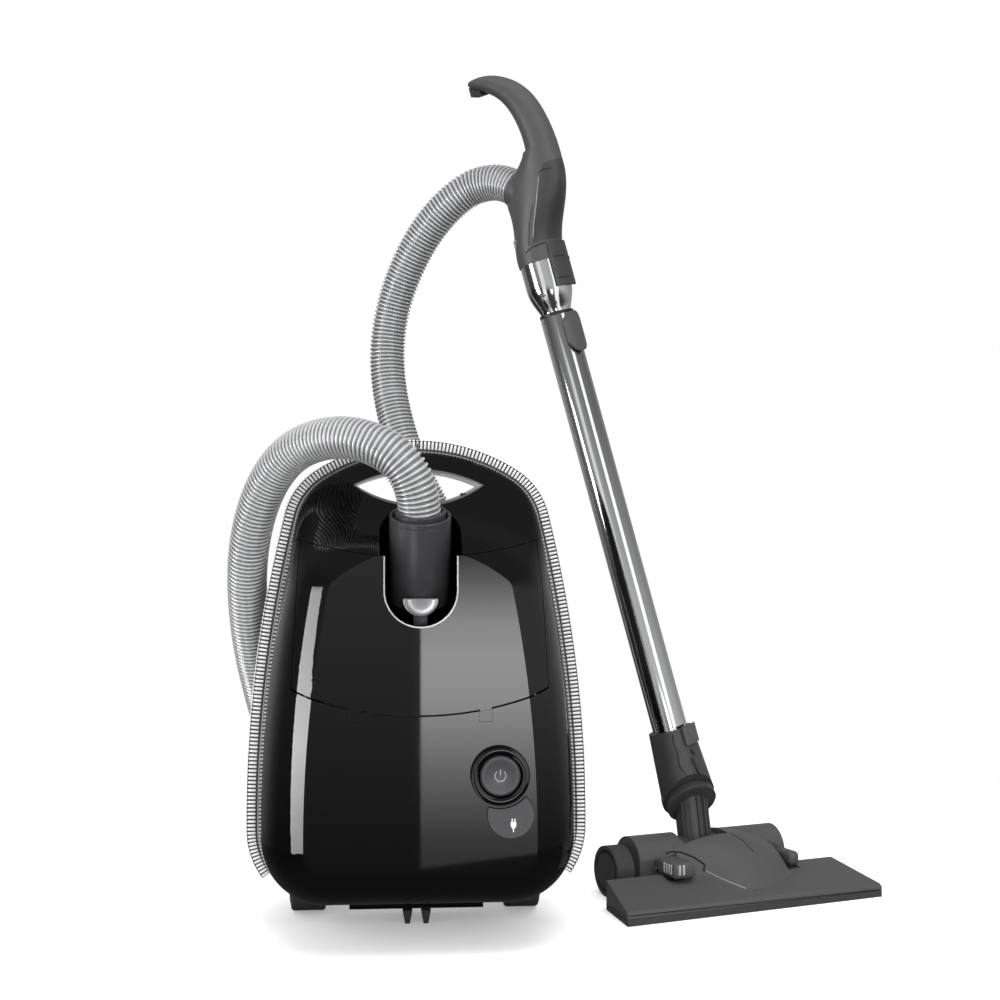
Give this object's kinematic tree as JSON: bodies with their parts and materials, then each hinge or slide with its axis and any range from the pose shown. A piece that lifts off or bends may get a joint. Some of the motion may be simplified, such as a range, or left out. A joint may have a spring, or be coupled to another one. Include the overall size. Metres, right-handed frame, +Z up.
{
  "type": "cylinder vacuum cleaner",
  "caption": "Bagged cylinder vacuum cleaner standing on its rear end, with ribbed hose, curved handle, telescopic steel wand and swivelling floor head.",
  "frame": {"origin": "on the floor, under the middle of the cleaner, wand and floor head taken together, without the hose", "axes": "+Z up; -Y is the side that the cleaner's lid faces as it stands; +X runs from the cleaner towards the floor head"},
  "size_m": [0.6356, 0.3964, 0.8284],
  "materials": {
    "gloss_black": "gloss",
    "moulded_grey": "satin",
    "moulded_black": "satin",
    "bumper_grey": "matte",
    "rim_grey": "satin",
    "bright_trim": "polished",
    "steel_tube": "polished",
    "hose_silver": "satin",
    "tyre": "matte",
    "seal": "matte",
    "pin_steel": "brushed",
    "winding_copper": "satin",
    "fan_aluminium": "satin",
    "filter_white": "matte",
    "bag_paper": "matte",
    "board_green": "satin",
    "bristle": "matte"
  },
  "bodies": {
    "cleaner": {"base_shell": "gloss_black", "front_cover": "gloss_black", "top_cover": "gloss_black", "bumper_belt": "bumper_grey", "belt_rim": "rim_grey", "handle_liner": "bright_trim", "lid_hinge_pins": "pin_steel", "parking_ribs": "moulded_black", "wheel_axles": "pin_steel", "bag_chamber": "rim_grey", "bag_holder": "rim_grey", "filter_bag": "bag_paper", "motor_filter": "filter_white", "motor_housing": "rim_grey", "motor_stator": "winding_copper", "motor_mounts": "seal", "exhaust_filter": "filter_white", "control_board": "board_green", "reel_bracket": "rim_grey", "cable_inlet": "moulded_black", "head_cover": "moulded_grey", "head_sole": "moulded_black", "head_pins": "pin_steel", "hose_front": "hose_silver", "hose_back": "hose_silver"},
    "lid": {"lid": "gloss_black", "port_seal": "seal", "port_trim": "bright_trim"},
    "lid_latch": {"lid_latch": "moulded_black"},
    "hose_release": {"hose_release": "moulded_black"},
    "hose_connector": {"hose_connector": "moulded_grey"},
    "power_button": {"power_button": "gloss_black"},
    "suction_dial": {"suction_dial": "moulded_black"},
    "rewind_button": {"rewind_button": "gloss_black"},
    "wheel_left": {"wheel_left": "moulded_black", "tyre_left": "tyre"},
    "wheel_right": {"wheel_right": "moulded_black", "tyre_right": "tyre"},
    "caster_fork": {"caster_fork": "moulded_black"},
    "caster_wheel": {"caster_wheel": "tyre"},
    "fan": {"motor_rotor": "fan_aluminium", "motor_fan": "fan_aluminium"},
    "reel_drum": {"reel_drum": "rim_grey"},
    "pedal_left": {"pedal_left": "moulded_grey"},
    "pedal_right": {"pedal_right": "moulded_grey"},
    "brush_strips": {"brush_strips": "bristle"},
    "head_wheel_left": {"head_wheel_left": "tyre"},
    "head_wheel_right": {"head_wheel_right": "tyre"},
    "neck": {"neck_base": "moulded_grey"},
    "wand": {"neck_elbow": "moulded_grey", "lower_tube": "steel_tube", "guide_sleeve": "moulded_black"},
    "socket_clip": {"socket_clip": "moulded_grey"},
    "telescope_button": {"telescope_button": "moulded_grey"},
    "handle": {"upper_tube": "steel_tube", "handle_shell": "moulded_grey", "handle_cover": "moulded_grey", "tip_insert": "moulded_black"},
    "handle_clip": {"handle_clip": "moulded_grey"},
    "hose_cuff": {"hose_cuff": "moulded_black"}
  },
  "joints": [
    {"name": "lid_hinge", "type": "hinge", "parent": "cleaner", "child": "lid", "pos_m": [-0.1524, -0.1517, 0.2045], "axis": [1, 0, 0], "range_deg": [0, 70], "deforming": ["hose_front"]},
    {"name": "lid_catch", "type": "slide", "parent": "cleaner", "child": "lid_latch", "axis": [0, 0, 1], "range_m": [0, 0.006], "stiffness_N_per_m": 300},
    {"name": "release_press", "type": "slide", "parent": "lid", "child": "hose_release", "axis": [0, 0, -1], "range_m": [0, 0.0025], "stiffness_N_per_m": 300},
    {"name": "connector_swivel", "type": "hinge", "parent": "lid", "child": "hose_connector", "pos_m": [-0.1524, -0.1357, 0.377], "axis": [0, -0.342, 0.9397], "continuous": true},
    {"name": "power_press", "type": "slide", "parent": "cleaner", "child": "power_button", "axis": [0, 1, 0], "range_m": [0, 0.002], "stiffness_N_per_m": 300},
    {"name": "suction_turn", "type": "hinge", "parent": "cleaner", "child": "suction_dial", "pos_m": [-0.0854, -0.1537, 0.156], "axis": [0, 1, 0], "range_deg": [-135, 135]},
    {"name": "rewind_press", "type": "slide", "parent": "cleaner", "child": "rewind_button", "axis": [0, 1, 0], "range_m": [0, 0.002], "stiffness_N_per_m": 300},
    {"name": "wheel_left_spin", "type": "hinge", "parent": "cleaner", "child": "wheel_left", "pos_m": [-0.2704, 0.0363, 0.046], "axis": [1, 0, 0], "continuous": true},
    {"name": "wheel_right_spin", "type": "hinge", "parent": "cleaner", "child": "wheel_right", "pos_m": [-0.0344, 0.0363, 0.046], "axis": [1, 0, 0], "continuous": true},
    {"name": "caster_swivel", "type": "hinge", "parent": "cleaner", "child": "caster_fork", "pos_m": [-0.1524, 0.0243, 0.3], "axis": [0, 1, 0], "continuous": true},
    {"name": "caster_spin", "type": "hinge", "parent": "caster_fork", "child": "caster_wheel", "pos_m": [-0.1524, 0.0673, 0.288], "axis": [1, 0, 0], "continuous": true},
    {"name": "fan_spin", "type": "hinge", "parent": "cleaner", "child": "fan", "pos_m": [-0.1924, -0.0477, 0.1], "axis": [0, 0, 1], "continuous": true},
    {"name": "reel_spin", "type": "hinge", "parent": "cleaner", "child": "reel_drum", "pos_m": [-0.1004, -0.0417, 0.092], "axis": [1, 0, 0], "continuous": true},
    {"name": "pedal_left_press", "type": "hinge", "parent": "cleaner", "child": "pedal_left", "pos_m": [0.09501, 0.04294, 0.032], "axis": [0.9397, 0.342, 0], "range_deg": [0, 5]},
    {"name": "pedal_right_press", "type": "hinge", "parent": "cleaner", "child": "pedal_right", "pos_m": [0.21529, 0.08672, 0.032], "axis": [0.9397, 0.342, 0], "range_deg": [0, 5]},
    {"name": "brush_lift", "type": "slide", "parent": "cleaner", "child": "brush_strips", "axis": [0, 0, 1], "range_m": [0, 0.005]},
    {"name": "head_wheel_left_spin", "type": "hinge", "parent": "cleaner", "child": "head_wheel_left", "pos_m": [0.03596, 0.06189, 0.025], "axis": [0.9397, 0.342, 0], "continuous": true},
    {"name": "head_wheel_right_spin", "type": "hinge", "parent": "cleaner", "child": "head_wheel_right", "pos_m": [0.21357, 0.12653, 0.025], "axis": [0.9397, 0.342, 0], "continuous": true},
    {"name": "neck_tilt", "type": "hinge", "parent": "cleaner", "child": "neck", "pos_m": [0.13036, 0.09199, 0.04], "axis": [-0.9397, -0.342, 0], "range_deg": [-8, 75], "deforming": ["hose_back"]},
    {"name": "elbow_swivel", "type": "hinge", "parent": "neck", "child": "wand", "pos_m": [0.1266, 0.10232, 0.09], "axis": [-0.262, 0.7198, 0.6428], "range_deg": [-40, 60], "deforming": ["hose_back"]},
    {"name": "socket_clip_press", "type": "slide", "parent": "wand", "child": "socket_clip", "axis": [-0.6404, 0.74, -0.2056], "range_m": [0, 0.001], "stiffness_N_per_m": 300},
    {"name": "telescope_press", "type": "slide", "parent": "wand", "child": "telescope_button", "axis": [-0.6404, 0.74, -0.2056], "range_m": [0, 0.001], "stiffness_N_per_m": 300},
    {"name": "telescope_slide", "type": "slide", "parent": "wand", "child": "handle", "axis": [-0.2595, 0.0435, 0.9648], "range_m": [0, 0.35], "deforming": ["hose_back"]},
    {"name": "handle_clip_press", "type": "hinge", "parent": "handle", "child": "handle_clip", "pos_m": [-0.0033, 0.10862, 0.63627], "axis": [-0.7229, -0.6712, -0.1642], "range_deg": [0, 2.5], "stiffness_Nm_per_rad": 0.5},
    {"name": "cuff_swivel", "type": "hinge", "parent": "handle", "child": "hose_cuff", "pos_m": [-0.04404, 0.13424, 0.71091], "axis": [-0.6296, 0.5421, 0.5565], "continuous": true}
  ],
  "couplings": [
    {"joint": "pedal_right_press", "follows": "pedal_left_press", "ratio": 1},
    {"joint": "brush_lift", "follows": "pedal_left_press", "m_per_rad": 0.0572}
  ]
}
